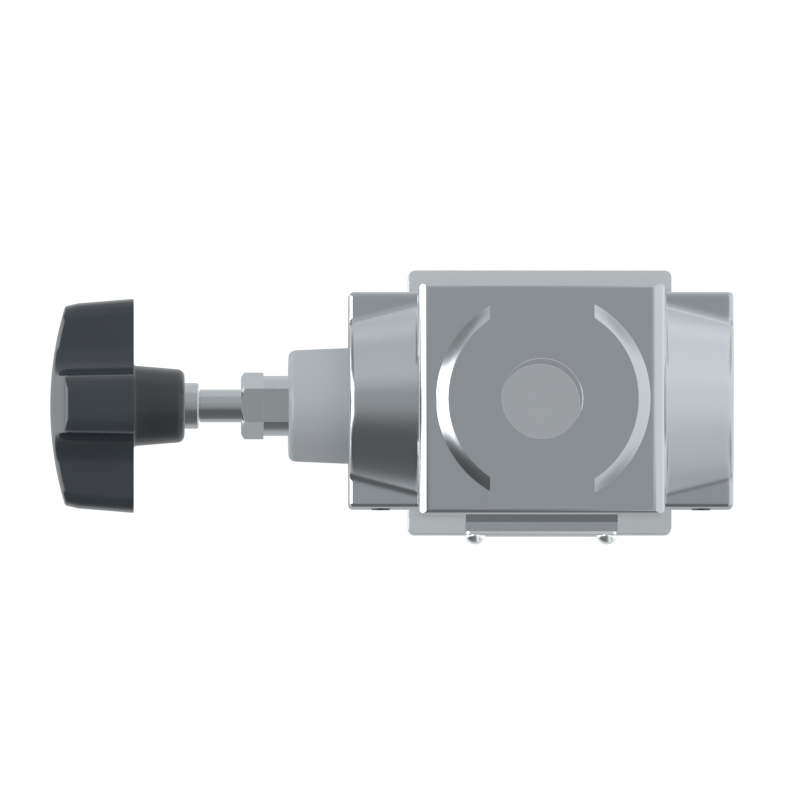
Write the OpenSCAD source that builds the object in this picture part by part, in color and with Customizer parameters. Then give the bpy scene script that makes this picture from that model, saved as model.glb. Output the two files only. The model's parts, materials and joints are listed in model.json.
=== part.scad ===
// Hydraulic pressure control valve: a cast body on a port plate, with a screw-set spring,
// a poppet and a four-lobe hand knob. +X runs along the control axis, away from the knob.
// +Z leaves the front port, and the underside of the port plate lies at Z = 0.

/* [Control axis] */
// Height of the control axis above the underside
axis_z = 38; // [36:0.5:44]
// Offset of the control axis from the middle of the casting
axis_y = -1.5; // [-2:0.1:2]

/* [Port plate] */
// Length of the port plate along X
plate_x = 77.4; // [76.5:0.1:80]
// Width of the port plate along Y
plate_y = 77.6; // [77:0.2:84]
// Thickness of the port plate
plate_t = 20; // [18.5:0.5:20]
// Radius of the plate's upright corners
plate_corner_r = 2; // [1:0.5:3]
// Spacing of the four tapped mounting holes along X
mount_x = 36; // [34:1:40]
// Spacing of the four tapped mounting holes along Y
mount_y = 62; // [58:1:64]
// Core diameter of the tapped mounting holes
mount_hole_d = 6.8; // [5:0.1:6.8]
// Depth of the tapped mounting holes
mount_depth = 14; // [10:1:15]

/* [Valve body] */
// Length of the block along X
block_x = 72.6; // [70:0.2:74]
// Width of the block along Y
block_y = 67.8; // [67:0.2:70]
// Height of the block's front face above the control axis
block_rise = 34; // [33:0.5:38]
// Edge radius on the knob side of the front face
block_left_r = 3.3; // [1:0.1:4]
// Edge radius on the far side of the front face
block_right_r = 4.1; // [1:0.1:5]
// Edge radius on the two long sides of the front face
block_side_r = 1.5; // [0.5:0.1:3]
// Radius of the block's upright edges
block_corner_r = 2; // [1:0.5:4]
// Overall length of the two end housings
housing_x = 113; // [110:1:120]
// Width of the end housings along Y
housing_y = 63.5; // [61:0.5:66]
// Height of the end housings, half above and half below the axis
housing_h = 30; // [28:1:36]
// Edge radius of the end housings
housing_r = 1.3; // [0.5:0.1:2]
// Radius of the cast cone where it leaves the block
cone_big_r = 31.3; // [30:0.1:33.5]
// Radius of the cast cone at the end face
cone_small_r = 27; // [25:0.5:29.5]

/* [Front boss and rib] */
// Radius of the round boss at its top
boss_r = 28; // [24:0.1:29]
// Height of the boss and rib above the front face
boss_h = 3; // [2:0.5:5]
// How far the boss flank spreads
boss_flank = 3.4; // [2:0.1:4]
// Width of the rib that crosses the boss
rib_w = 30.7; // [27:0.1:34]
// Length of the rib
rib_len = 64; // [60:0.5:64]

/* [Ports] */
// Core radius of the G 3/4 port threads
port_r = 12.06; // [9:0.01:12.1]
// Depth of thread in the front port
front_port_depth = 17.5; // [14:0.5:18]
// Depth of thread in the plate port
plate_port_depth = 16; // [14:0.5:16]
// Thickness of the port screen
screen_t = 2.5; // [1.5:0.5:3]
// Radius of the drilled way under the screen
outlet_r = 7; // [5:0.5:8]
// Radius of the drilled way from the plate to the inlet chamber
inlet_r = 5.5; // [4:0.5:5.5]
// Distance of the inlet way from the middle
inlet_x = 24; // [23:0.5:25]

/* [Nameplate] */
// Margin of the pad round the nameplate
pad_margin = 0.5; // [0.3:0.1:1]
// How far the pad stands out of the block
pad_out = 4.9; // [4:0.1:6]
// Distance of the drive screws from the nameplate's ends
name_margin = 2.65; // [2.2:0.05:4]
// Height of the nameplate
nameplate_h = 28; // [20:1:30]
// Thickness of the nameplate
nameplate_t = 0.9; // [0.5:0.1:1.5]
// Spacing of the two drive screws
drive_pitch = 38.7; // [32:0.1:44]
// Radius of the drive screw heads
drive_head_r = 3; // [2:0.1:3]

/* [Spring chamber and poppet] */
// Radius of the spring chamber
chamber_r = 9.5; // [9.2:0.1:10]
// Position of the end of the bonnet's screwed shank
shank_end_x = -48.6; // [-49.5:0.1:-48]
// Radius of the ring chamber round the poppet
outlet_groove_r = 13; // [11:0.5:14]
// Length of the ring chamber round the poppet
outlet_groove_len = 7; // [6:0.5:8]
// Position of the valve seat along X
seat_x = 2; // [1:0.5:3]
// Radius of the seat bore
seat_bore_r = 5; // [4:0.1:5.4]
// Outer radius of the seat bush
seat_bush_r = 10.5; // [10:0.1:11]
// Length of the seat bush without its flange
seat_bush_len = 14; // [13:1:15]
// Thickness of the seat bush flange
seat_flange_t = 2; // [1.5:0.5:3]
// Radius of the inlet chamber
inlet_chamber_r = 11.5; // [11.2:0.1:11.6]
// Position of the end plug's inner face
plug_x = 33; // [32:0.5:34]
// Radius of the end plug
plug_r = 12.5; // [12.2:0.1:13]
// Depth of the end plug below the end face
plug_sink = 1; // [0.5:0.5:2]

/* [Bonnet and adjuster] */
// Length of the bonnet outside the housing
bonnet_len = 17.7; // [16:0.1:22]
// Radius of the bonnet at its outer end
bonnet_small_r = 16.3; // [14:0.1:17]
// Radius of the bonnet against the housing
bonnet_big_r = 17.05; // [16:0.05:19]
// Radius of the bonnet's outer edge
bonnet_edge_r = 1.9; // [1:0.1:3]
// Radius of the bonnet's screwed shank
bonnet_shank_r = 13; // [12.5:0.1:14]
// Width across flats of the lock nut
hex_af = 17; // [16:1:18]
// Width across the two flats of the guide bush head
bush_af = 14.6; // [14.5:0.1:16.5]
// Length of the guide bush head
bush_head_len = 7.4; // [6:0.1:9]
// Turned radius of the guide bush head
bush_head_r = 8.8; // [8.6:0.1:9.2]
// Radius of the guide bush shank
bush_shank_r = 7; // [6.8:0.1:7.2]
// Length of the guide bush shank
bush_shank_len = 8; // [7:0.5:9]
// Thickness of the lock nut
nut_t = 6.5; // [5:0.5:8]
// Radius of the adjusting spindle
spindle_r = 4.8; // [4.6:0.1:5]
// Free spindle between the lock nut and the collar
spindle_free = 12.6; // [12:0.1:16]
// Length of the collar against the knob
collar_len = 4.1; // [3:0.1:6]
// Radius of the collar
collar_r = 6.7; // [6:0.1:8]

/* [Knob] */
// Largest radius of the knob
knob_r = 31.5; // [28:0.5:33]
// Length of the lobed part of the knob
lobe_len = 24.5; // [22:0.5:28]
// Width of each lobe
lobe_w = 18; // [16:0.5:20]
// Corner radius of each lobe
lobe_r = 4.5; // [3:0.1:6]
// Radius of the hollows between the lobes
hollow_r = 9; // [7:0.5:10]
// Radius of the domed face
dome_r = 100; // [80:5:160]
// Edge radius between dome and lobe tips
dome_edge_r = 2.5; // [1:0.1:4]
// How much the lobe tips draw in towards the dome
lobe_draft = 2; // [0.5:0.1:3]
// Length of the knob's hub
hub_len = 15; // [12:0.5:20]
// Radius of the hub at the lobes
hub_big_r = 11.8; // [11:0.1:13]
// Radius of the hub at its end
hub_small_r = 10.8; // [10:0.1:12]
// Edge radius at the end of the hub
hub_edge_r = 2; // [1:0.1:3]
// Radius of the metal insert in the knob
insert_r = 7.5; // [6.5:0.1:8]
// Length of the metal insert in the knob
insert_len = 22; // [16:1:26]
// Radius of the spindle's end in the insert
spindle_end_r = 4; // [3:0.1:4.4]

/* [Spring] */
// Radius of the spring wire
wire_r = 1.5; // [1.2:0.1:1.6]
// Mean radius of the spring coil
coil_r = 6.4; // [6.2:0.1:6.5]
// Number of turns
coil_turns = 7.5; // [6:0.5:8.5]
// Thickness of the spring plate
spring_plate_t = 3.5; // [3.5:0.5:4.5]
// Position of the spring plate's face on the spring side
spring_plate_x = -48.5; // [-49.5:0.5:-48]
// Radius of the thrust ball
ball_r = 3; // [2.5:0.1:3.2]

/* [Fasteners] */
// Spacing of the four body screws along X
screw_x = 60; // [58:1:62]
// Spacing of the four body screws along Y
screw_y = 52; // [50:1:54]
// Radius of the body screws
screw_r = 3; // [2.5:0.1:3]
// Radius of the body screw heads
screw_head_r = 5; // [4.5:0.1:5.2]
// Height of the body screw heads
screw_head_h = 6; // [5:0.5:7]
// Depth of thread in the body
screw_grip = 11; // [8:1:12]
// Radius of the two dowels
dowel_r = 2.5; // [2:0.1:3]
// Length of the dowels
dowel_len = 10; // [8:1:12]
// Distance of the dowels from the middle along X
dowel_x = 30; // [29:0.5:31]
// Distance of the dowels from the middle along Y
dowel_y = 12; // [11:0.5:13]
// Radius of the small gallery plugs
gallery_plug_r = 2.8; // [2.2:0.1:3]
// Distance of the gallery plugs from the middle along X
gallery_plug_x = 47.1; // [46.9:0.1:47.5]

/* [Clearances] */
// Radial clearance of the pieces that slide or turn
run_gap = 0.05; // [0.03:0.01:0.08]
// Radial clearance of the pieces that are screwed or pressed in
fit_gap = 0.05; // [0.02:0.01:0.1]
// Gap left at each end of the spring
spring_gap = 0.2; // [0.1:0.05:0.3]
// Gap between plate and cast cones
plate_gap = 0.35; // [0.2:0.05:0.6]

/* [Hidden] */
$fn = 96;

// Overshoot of cuts past the faces that they open
cut = 1;

// Sides of a ring seal's section and of the shallow dome
seal_fn = 32;
dome_fn = 720;

// Positions along X, from the end face of the housing outwards to the knob
end_x = housing_x / 2;
bonnet_x = -end_x - bonnet_len;
nut_x0 = bonnet_x - bush_head_len - nut_t;
collar_x1 = nut_x0 - spindle_free;
hub_x = collar_x1 - collar_len;
knob_back_x = hub_x - hub_len;
dome_x = knob_back_x - lobe_len;

// Heights of the faces that look up
front_z = axis_z + block_rise;
boss_z = front_z + boss_h;
recess_z = boss_z - front_port_depth;
screen_drop = 4;
screen_seat_z = recess_z - screen_t - screen_drop;

// The screen lies on the control axis, so its recess is a little off the port's centre
recess_step = 0.06;
recess_r = port_r - recess_step;
recess_dx = -0.6;

// How far one solid reaches into the next where two are joined
sink = 1;

// The pad's outer face, and the height of its ledge
nameplate_w = drive_pitch + 2 * name_margin;
pad_w = nameplate_w + 2 * pad_margin;
pad_y = -block_y / 2 - pad_out;
pad_rise = 22;
pad_z = axis_z + pad_rise;
pad_slope_out = 2.2;
pad_slope_h = 2.4;
name_rise = 4;
name_z = axis_z + name_rise;
name_corner_r = 1;

// Drive screws and the blind holes that they sit in
drive_shank = 6;
drive_shank_r = 1.3;
drive_head_h = 2.6;
drill_extra = 0.5;

// Plugs of the small galleries in the end housings
gallery_plug_len = 5;
gallery_proud = 0.4;
gallery_r = 1.3;
gallery_into = 2;

// The drilling in the plate, its plug, and the room round the body screws
plate_gallery_r = 4;
gallery_drop = 8;
gallery_z = plate_t - gallery_drop;
plate_plug_len = 5;
plate_plug_r = 5;
plate_plug_sink = 0.5;
screw_room = 0.3;
head_room = 0.4;
head_sink = 1;
drill_room = 2;
screw_head_sink = screw_head_h + head_sink;
small_socket = 5;
small_socket_depth = 3;

// Sizes of the round seals: wire radius, the room round it, and where the grooves start
seal_r = 1;
seal_gap = 0.05;
seal_room = 2 * (seal_r + seal_gap);
base_seal_r = 8;
seat_groove_x = seat_x + 4;
plug_groove_x = plug_x + 3;
bush_groove_x = bonnet_x - bush_head_len + 2;

// Hexagon socket of the end plug, and the mouth of the seat bush
plug_socket = 12;
plug_socket_depth = 8;
bush_mouth = 2;
bush_end_x = seat_x + seat_bush_len + seat_flange_t;

// Poppet: guide piston, neck, cone and damping land
piston_back = 16;
piston_floor = 5;
piston_boss = 2.5;
piston_x0 = seat_x - piston_back;
piston_len = 8;
piston_floor_x = piston_x0 + piston_floor;
boss_x = piston_floor_x - piston_boss;
neck_r = 4.5;
cone_step = 2;
cone_rim = 2;
cone_r = seat_bore_r + cone_step;
seat_lift = 0.05;
stem_r = 3;
land_gap = 2.5;
land_len = 6;

// Damping screw in the poppet, and the cross hole behind it
damping_r = 2.5;
damping_len = 2;
damping_socket = 2.5;
damping_socket_depth = 1.5;
orifice_r = 0.8;
cross_x = piston_x0 + piston_len + 2;

// Spring, its guides, ball and the end of the spindle
coil_play = 0.4;
spigot_len = 3;
spring_x0 = spring_plate_x + spring_gap;
spring_x1 = piston_floor_x - spring_gap;
ball_seat = 2;
ball_x = spring_plate_x - spring_plate_t + ball_seat - ball_r;
ball_gap = 0.2;
spindle_tip_x = ball_x - ball_r - ball_gap;
stop_back = 3.8;
stop_x = spindle_tip_x - stop_back;
stop_t = 1.2;
stop_wide = 1.7;
stop_slit = 3;
stop_groove_r = spindle_r - 1;
insert_x0 = hub_x - insert_len;
insert_floor = 2;
pin_back = 7;
pin_x = hub_x - pin_back;
pin_r = 1.5;
pin_reach = sqrt(insert_r * insert_r - pin_r * pin_r);
shank_wall = 6;
shank_bore_x = bonnet_x + shank_wall;

// A circle on the control axis is drawn with its own axis along X
module along_axis(x) {
    translate([x, axis_y, axis_z]) rotate([0, 90, 0]) children();
}

module rod_x(x0, x1, r0, r1 = undef) {
    along_axis(x0) cylinder(h = x1 - x0, r1 = r0, r2 = is_undef(r1) ? r0 : r1);
}

// A ring seal round the control axis
module seal_x(x, mean_r) {
    along_axis(x) rotate_extrude() translate([mean_r, 0]) circle(r = seal_r, $fn = seal_fn);
}

// A rectangle with its own radius at each corner, in the order bottom left, bottom right,
// top right, top left
module cornered(x0, x1, y0, y1, r) {
    difference() {
        translate([x0, y0]) square([x1 - x0, y1 - y0]);
        corner_off(x0, y0, r[0], 1, 1);
        corner_off(x1, y0, r[1], -1, 1);
        corner_off(x1, y1, r[2], -1, -1);
        corner_off(x0, y1, r[3], 1, -1);
    }
}

module corner_off(x, y, r, sx, sy) {
    if (r > 0) translate([x, y]) scale([sx, sy]) difference() {
        translate([-cut, -cut]) square(r + cut);
        translate([r, r]) circle(r = r);
    }
}

module prism_y(y0, y1) {
    translate([0, y1, 0]) rotate([90, 0, 0]) linear_extrude(height = y1 - y0) children();
}

module prism_x(x0, x1) {
    translate([x0, 0, 0]) rotate([90, 0, 90]) linear_extrude(height = x1 - x0) children();
}

module at_corners(dx, dy) {
    for (sx = [-1, 1]) for (sy = [-1, 1]) translate([sx * dx / 2, sy * dy / 2, 0]) children();
}

module at_dowels() {
    for (s = [-1, 1]) translate([s * dowel_x, s * dowel_y, plate_t - dowel_len / 2]) children();
}

// The block, rounded by three crossing outlines
module block() {
    hx = block_x / 2;
    hy = block_y / 2;
    intersection() {
        prism_y(-hy, hy) cornered(-hx, hx, plate_t, front_z, [0, 0, block_right_r, block_left_r]);
        prism_x(-hx, hx) cornered(-hy, hy, plate_t, front_z, [0, 0, block_side_r, block_side_r]);
        translate([0, 0, plate_t]) linear_extrude(height = front_z - plate_t)
            cornered(-hx, hx, -hy, hy, block_corner_r * [1, 1, 1, 1]);
    }
}

module housings() {
    hy = housing_y / 2;
    z0 = axis_z - housing_h / 2;
    z1 = axis_z + housing_h / 2;
    r4 = housing_r * [1, 1, 1, 1];
    intersection() {
        prism_y(-hy, hy) cornered(-end_x, end_x, z0, z1, r4);
        translate([0, 0, z0]) linear_extrude(height = z1 - z0) cornered(-end_x, end_x, -hy, hy, r4);
    }
}

// The cones that swell out of the end housings towards the block, round on the casting's middle
// and no wider than the housings
module cones() {
    intersection() {
        for (s = [-1, 1]) translate([0, 0, axis_z]) rotate([0, s * 90, 0]) rotate_extrude()
            difference() {
                polygon([[0, 0], [cone_big_r, 0], [cone_big_r, block_x / 2 - sink],
                         [cone_small_r, end_x], [0, end_x]]);
                corner_off(cone_small_r, end_x, housing_r, -1, -1);
            }
        translate([-end_x, -housing_y / 2, axis_z - end_x]) cube([housing_x, housing_y, housing_x]);
    }
}

module boss_and_rib() {
    translate([0, 0, front_z]) cylinder(h = boss_h, r1 = boss_r + boss_flank, r2 = boss_r);
    translate([-rib_w / 2, -rib_len / 2, front_z - sink]) cube([rib_w, rib_len, boss_h + sink]);
}

// The nameplate pad: a ledge with a slope that runs up into the block's side
module pad() {
    y0 = -block_y / 2;
    translate([-pad_w / 2, 0, 0]) rotate([90, 0, 90]) linear_extrude(height = pad_w)
        polygon([[y0 + sink, plate_t], [pad_y, plate_t], [pad_y, pad_z],
                 [y0 - pad_slope_out, pad_z], [y0, pad_z + pad_slope_h],
                 [y0 + sink, pad_z + pad_slope_h]]);
}

// Everything bored along the control axis in the casting
module body_bores() {
    rod_x(-end_x - cut, shank_end_x, bonnet_shank_r + fit_gap);
    rod_x(shank_end_x - cut, seat_x, chamber_r);
    rod_x(seat_x - outlet_groove_len, seat_x, outlet_groove_r);
    rod_x(seat_x - cut, seat_x + seat_bush_len + cut, seat_bush_r + fit_gap);
    rod_x(seat_x + seat_bush_len, plug_x + cut, inlet_chamber_r);
    rod_x(plug_x, end_x + cut, plug_r + fit_gap);
}

module body_ports() {
    translate([0, 0, recess_z]) cylinder(h = front_port_depth + cut, r = port_r);
    translate([recess_dx, axis_y, screen_seat_z])
        cylinder(h = recess_z - screen_seat_z + cut, r = recess_r);
    translate([seat_x - outlet_groove_len / 2, axis_y, axis_z])
        cylinder(h = screen_seat_z - axis_z + cut, r = outlet_r);
    translate([inlet_x, axis_y, plate_t - cut]) cylinder(h = axis_z - plate_t + cut, r = inlet_r);
}

module body_small_holes() {
    translate([0, 0, plate_t - cut]) at_corners(screw_x, screw_y)
        cylinder(h = screw_grip + drill_room + cut, r = screw_r + fit_gap);
    at_dowels() cylinder(h = dowel_len, r = dowel_r + fit_gap);
    for (s = [-1, 1]) translate([s * drive_pitch / 2, pad_y - cut, name_z]) rotate([-90, 0, 0])
        cylinder(h = drive_shank + drill_extra + cut, r = drive_shank_r + fit_gap);
    for (s = [-1, 1]) translate([s * gallery_plug_x, -housing_y / 2, axis_z]) rotate([-90, 0, 0]) {
        translate([0, 0, -cut]) cylinder(h = gallery_plug_len + cut, r = gallery_plug_r + fit_gap);
        cylinder(h = housing_y / 2 - bonnet_shank_r + gallery_into, r = gallery_r);
    }
}

module valve_body() {
    color("darkgray") difference() {
        union() {
            block();
            housings();
            cones();
            boss_and_rib();
            pad();
        }
        body_bores();
        body_ports();
        body_small_holes();
        translate([-plate_x / 2 - plate_gap, -plate_y, -cut])
            cube([plate_x + 2 * plate_gap, 2 * plate_y, plate_t + cut]);
    }
}

module base_plate() {
    hx = plate_x / 2;
    hy = plate_y / 2;
    color("lightgray") difference() {
        linear_extrude(height = plate_t)
            cornered(-hx, hx, -hy, hy, plate_corner_r * [1, 1, 1, 1]);
        translate([0, 0, -cut]) cylinder(h = plate_port_depth + cut, r = port_r);
        translate([0, axis_y, gallery_z]) rotate([0, 90, 0]) cylinder(h = hx, r = plate_gallery_r);
        translate([hx - plate_plug_len, axis_y, gallery_z]) rotate([0, 90, 0])
            cylinder(h = plate_plug_len + cut, r = plate_plug_r + fit_gap);
        translate([inlet_x, axis_y, gallery_z]) cylinder(h = plate_t, r = inlet_r);
        translate([inlet_x, axis_y, plate_t - seal_room]) difference() {
            cylinder(h = seal_room + cut, r = base_seal_r + seal_room / 2);
            translate([0, 0, -cut]) cylinder(h = seal_room + 3 * cut, r = base_seal_r - seal_room / 2);
        }
        at_dowels() cylinder(h = dowel_len, r = dowel_r + fit_gap);
        at_corners(screw_x, screw_y) {
            translate([0, 0, -cut]) cylinder(h = plate_t + 2 * cut, r = screw_r + screw_room);
            translate([0, 0, -cut]) cylinder(h = screw_head_sink + cut, r = screw_head_r + head_room);
        }
        at_corners(mount_x, mount_y)
            translate([0, 0, -cut]) cylinder(h = mount_depth + cut, r = mount_hole_d / 2);
    }
}

// Hexagon socket of a screw or plug, across flats af
module hex_socket(af, depth) {
    cylinder(h = depth, d = af / cos(30), $fn = 6);
}

module plate_plug() {
    color("dimgray") translate([plate_x / 2 - plate_plug_len, axis_y, gallery_z]) rotate([0, 90, 0])
        difference() {
            cylinder(h = plate_plug_len - plate_plug_sink, r = plate_plug_r);
            translate([0, 0, plate_plug_len - plate_plug_sink - small_socket_depth])
                hex_socket(small_socket, small_socket_depth + cut);
        }
}

module base_seal() {
    color("black") translate([inlet_x, axis_y, plate_t - seal_gap - seal_r]) rotate_extrude()
        translate([base_seal_r, 0]) circle(r = seal_r, $fn = seal_fn);
}

module base_dowels() {
    color("silver") at_dowels() cylinder(h = dowel_len, r = dowel_r);
}

module base_screws() {
    color("dimgray") at_corners(screw_x, screw_y) difference() {
        union() {
            translate([0, 0, head_sink]) cylinder(h = screw_head_h, r = screw_head_r);
            translate([0, 0, screw_head_sink])
                cylinder(h = plate_t - screw_head_sink + screw_grip, r = screw_r);
        }
        hex_socket(small_socket, head_sink + small_socket_depth);
    }
}

module port_screen() {
    color("gray") translate([recess_dx, axis_y, screen_seat_z])
        cylinder(h = screen_t, r = recess_r - fit_gap);
}

module seat_bush() {
    color("silver") difference() {
        union() {
            rod_x(seat_x, seat_x + seat_bush_len, seat_bush_r);
            rod_x(seat_x + seat_bush_len, bush_end_x, inlet_chamber_r - fit_gap);
        }
        rod_x(seat_x - cut, bush_end_x + cut, seat_bore_r);
        rod_x(bush_end_x - 2 * bush_mouth, bush_end_x + cut, seat_bore_r, seat_bore_r + bush_mouth);
        seal_groove(seat_groove_x, seat_bush_r);
    }
}

// A groove for a ring seal, cut into a shaft of radius r, from x onwards
module seal_groove(x, r) {
    difference() {
        rod_x(x, x + seal_room, r + cut);
        rod_x(x - cut, x + seal_room + cut, r + fit_gap - seal_room);
    }
}

module seat_seal() {
    color("black") seal_x(seat_groove_x + seal_room / 2, seat_bush_r + fit_gap - seal_room / 2);
}

module end_plug() {
    color("dimgray") difference() {
        rod_x(plug_x, end_x - plug_sink, plug_r);
        along_axis(end_x - plug_sink - plug_socket_depth)
            hex_socket(plug_socket, plug_socket_depth + cut);
        seal_groove(plug_groove_x, plug_r);
    }
}

module end_plug_seal() {
    color("black") seal_x(plug_groove_x + seal_room / 2, plug_r + fit_gap - seal_room / 2);
}

module gallery_plugs() {
    color("dimgray") for (s = [-1, 1])
        translate([s * gallery_plug_x, -housing_y / 2 - gallery_proud, axis_z]) rotate([-90, 0, 0])
            cylinder(h = gallery_plug_len + gallery_proud, r = gallery_plug_r);
}

module nameplate() {
    hw = nameplate_w / 2;
    color("lightgray") difference() {
        prism_y(pad_y - nameplate_t, pad_y)
            cornered(-hw, hw, name_z - nameplate_h / 2, name_z + nameplate_h / 2,
                     name_corner_r * [1, 1, 1, 1]);
        for (s = [-1, 1]) translate([s * drive_pitch / 2, pad_y - nameplate_t - cut, name_z])
            rotate([-90, 0, 0]) cylinder(h = nameplate_t + 2 * cut, r = drive_shank_r + fit_gap);
    }
}

module drive_screws() {
    dome = (pow(drive_head_h, 2) + pow(drive_head_r, 2)) / (2 * drive_head_h);
    color("silver") for (s = [-1, 1])
        translate([s * drive_pitch / 2, pad_y - nameplate_t, name_z]) rotate([-90, 0, 0]) {
            translate([0, 0, -drive_head_h]) rotate_extrude() intersection() {
                square([drive_head_r, drive_head_h]);
                translate([0, dome]) circle(r = dome);
            }
            cylinder(h = nameplate_t + drive_shank, r = drive_shank_r);
        }
}

module bonnet() {
    color("lightgray") difference() {
        union() {
            along_axis(bonnet_x) rotate_extrude() difference() {
                polygon([[0, 0], [bonnet_small_r, 0], [bonnet_big_r, bonnet_len], [0, bonnet_len]]);
                corner_off(bonnet_small_r, 0, bonnet_edge_r, -1, 1);
            }
            rod_x(-end_x, shank_end_x, bonnet_shank_r);
        }
        rod_x(bonnet_x - cut, shank_bore_x + cut, bush_shank_r + fit_gap);
        rod_x(shank_bore_x, shank_end_x + cut, chamber_r);
        seal_groove(-end_x, bonnet_shank_r);
    }
}

module bonnet_seal() {
    color("black") seal_x(-end_x + seal_room / 2, bonnet_shank_r + fit_gap - seal_room / 2);
}

// The guide bush has a round head with a flat above and below, and a shank in the bonnet
module guide_bush() {
    color("silver") difference() {
        union() {
            difference() {
                rod_x(bonnet_x - bush_head_len, bonnet_x, bush_head_r);
                for (s = [-1, 1])
                    translate([bonnet_x - bush_head_len - cut, axis_y - bush_head_r - cut,
                               axis_z + s * (bush_af / 2 + bush_head_r) - bush_head_r])
                        cube([bush_head_len + 2 * cut, 2 * bush_head_r + 2 * cut, 2 * bush_head_r]);
            }
            rod_x(bonnet_x, bonnet_x + bush_shank_len, bush_shank_r);
        }
        rod_x(bonnet_x - bush_head_len - cut, bonnet_x + bush_shank_len + cut, spindle_r + run_gap);
        rod_x(bush_groove_x, bush_groove_x + seal_room, spindle_r + run_gap + seal_room - seal_gap);
    }
}

module spindle_seal() {
    color("black") seal_x(bush_groove_x + seal_room / 2, spindle_r + run_gap + seal_r);
}

// The nut is a hexagon whose corners are cut back by a cone on the knob side
module lock_nut() {
    corner = hex_af / 2 / cos(30);
    nut_chamfer = 0.9;
    color("silver") difference() {
        intersection() {
            along_axis(nut_x0) rotate([0, 0, 90]) cylinder(h = nut_t, r = corner, $fn = 6);
            along_axis(nut_x0) rotate_extrude()
                polygon([[0, 0], [hex_af / 2, 0], [corner, nut_chamfer], [corner, nut_t], [0, nut_t]]);
        }
        rod_x(nut_x0 - cut, nut_x0 + nut_t + cut, spindle_r + run_gap);
    }
}

// The poppet is turned: guide piston, neck, cone, stem, and a damping land with three flats
module poppet() {
    cone_x = seat_x - seat_lift - (cone_r - seat_bore_r);
    cone_end = cone_x + cone_r - stem_r;
    land_x = cone_end + land_gap;
    color("silver") difference() {
        union() {
            rod_x(piston_x0, piston_x0 + piston_len, chamber_r - run_gap);
            rod_x(piston_x0 + piston_len, cone_x, neck_r);
            rod_x(cone_x - cone_rim, cone_x, cone_r);
            rod_x(cone_x, cone_end, cone_r, stem_r);
            rod_x(cone_end, land_x, stem_r);
            rod_x(land_x, land_x + land_len, seat_bore_r - run_gap);
        }
        difference() {
            rod_x(piston_x0 - cut, piston_floor_x, coil_r + wire_r + coil_play);
            rod_x(boss_x, piston_floor_x + cut, coil_r - wire_r - coil_play);
        }
        rod_x(boss_x - cut, piston_floor_x + damping_len, damping_r + fit_gap);
        rod_x(piston_floor_x, cross_x, orifice_r);
        translate([cross_x, axis_y - neck_r - cut, axis_z]) rotate([-90, 0, 0])
            cylinder(h = 2 * (neck_r + cut), r = orifice_r);
        for (a = [0, 120, 240]) along_axis(land_x) rotate([0, 0, a])
            translate([stem_r, -seat_bore_r, 0]) cube([seat_bore_r, 2 * seat_bore_r, land_len + cut]);
    }
}

module damping_screw() {
    color("goldenrod") difference() {
        rod_x(boss_x, piston_floor_x + damping_len, damping_r);
        rod_x(boss_x - cut, piston_floor_x + damping_len + cut, orifice_r / 2);
        along_axis(boss_x - cut) hex_socket(damping_socket, cut + damping_socket_depth);
    }
}

// Points round the wire at one step of the helix
function coil_ring(i, steps) =
    let (a = 360 * coil_turns * i / steps,
         x = spring_x0 + wire_r + (spring_x1 - spring_x0 - 2 * wire_r) * i / steps)
    [for (k = [0:7]) let (r = coil_r + wire_r * cos(45 * k))
        [x + wire_r * sin(45 * k), axis_y + r * cos(a), axis_z + r * sin(a)]];

module main_spring() {
    steps_per_turn = 20;
    steps = round(coil_turns * steps_per_turn);
    points = [for (i = [0:steps]) each coil_ring(i, steps)];
    sides = [for (i = [0:steps - 1]) for (k = [0:7])
        [8 * i + k, 8 * i + (k + 1) % 8, 8 * i + 8 + (k + 1) % 8, 8 * i + 8 + k]];
    ends = [[for (k = [7:-1:0]) k], [for (k = [0:7]) 8 * steps + k]];
    color("dimgray") polyhedron(points = points, faces = concat(sides, ends));
}

module spring_plate() {
    x0 = spring_plate_x - spring_plate_t;
    color("silver") difference() {
        union() {
            rod_x(x0, spring_plate_x, chamber_r - run_gap);
            rod_x(spring_plate_x, spring_plate_x + spigot_len, coil_r - wire_r - coil_play);
        }
        rod_x(x0 - cut, x0 + ball_seat, ball_r + fit_gap);
    }
}

module thrust_ball() {
    color("silver") translate([ball_x, axis_y, axis_z]) sphere(r = ball_r);
}

module spindle() {
    neck = 0.5;
    color("silver") difference() {
        union() {
            rod_x(insert_x0 + insert_floor, hub_x, spindle_end_r);
            rod_x(hub_x, spindle_tip_x, spindle_r);
        }
        difference() {
            rod_x(collar_x1, collar_x1 + neck, spindle_r + cut);
            rod_x(collar_x1 - cut, collar_x1 + neck + cut, spindle_r - neck);
        }
        difference() {
            rod_x(stop_x, stop_x + stop_t, spindle_r + cut);
            rod_x(stop_x - cut, stop_x + stop_t + cut, stop_groove_r);
        }
        pin_hole();
    }
}

module pin_hole() {
    translate([pin_x, axis_y, axis_z - insert_r - cut])
        cylinder(h = 2 * (insert_r + cut), r = pin_r + fit_gap);
}

// A split ring in the spindle's groove, which stops the spindle at the guide bush
module stop_ring() {
    color("dimgray") difference() {
        rod_x(stop_x + fit_gap, stop_x + stop_t - fit_gap, spindle_r + stop_wide);
        rod_x(stop_x - cut, stop_x + stop_t + cut, stop_groove_r + fit_gap);
        translate([stop_x - cut, axis_y - stop_slit / 2, axis_z])
            cube([stop_t + 2 * cut, stop_slit, spindle_r + stop_wide + cut]);
    }
}

module spindle_collar() {
    chamfer = 0.4;
    color("silver") difference() {
        along_axis(hub_x) rotate_extrude() polygon([
            [0, 0], [collar_r, 0], [collar_r, collar_len - chamfer],
            [collar_r - chamfer, collar_len], [0, collar_len]]);
        rod_x(hub_x - cut, collar_x1 + cut, spindle_r + fit_gap);
    }
}

module knob_insert() {
    color("silver") difference() {
        rod_x(insert_x0, hub_x, insert_r);
        rod_x(insert_x0 + insert_floor, hub_x + cut, spindle_end_r + fit_gap);
        pin_hole();
    }
}

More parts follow.
